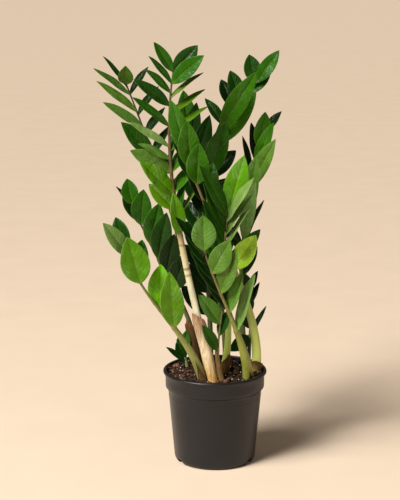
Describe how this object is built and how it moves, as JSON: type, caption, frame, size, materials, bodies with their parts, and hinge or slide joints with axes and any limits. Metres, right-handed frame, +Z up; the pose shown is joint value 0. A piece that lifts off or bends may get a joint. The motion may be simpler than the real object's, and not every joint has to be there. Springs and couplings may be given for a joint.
{
  "type": "potted zz plant",
  "caption": "Free-standing potted ZZ plant with arching fronds of glossy leaflets on thick stems, rooted in bark soil in a tapered black nursery pot.",
  "frame": {"origin": "middle of the pot's flat underside, where the plant stands", "axes": "+Z up along the pot's axis, +X to the plant's right seen from the front, -Y towards the front"},
  "size_m": [0.2706, 0.2648, 0.6058],
  "materials": {
    "pot_plastic": "fine satin black moulded plastic",
    "soil": "damp bark chips and peat with white perlite",
    "leaf": "waxy glossy leaf",
    "husk": "dry papery sheath"
  },
  "bodies": {
    "root": {"pot": "pot_plastic", "soil": "soil", "frond_front_left": "leaf", "frond_front_tall": "leaf", "frond_front_right": "leaf", "frond_centre": "leaf", "frond_leaning": "leaf", "frond_right_tall": "leaf", "frond_right": "leaf", "frond_back_left": "leaf", "frond_left": "leaf", "frond_back_centre": "leaf", "frond_low_right": "leaf", "frond_young_front": "leaf", "frond_low_back_left": "leaf", "sheath_front_tall": "husk", "sheath_leaning": "husk", "sheath_centre": "husk", "sheath_left": "husk"}
  },
  "joints": []
}
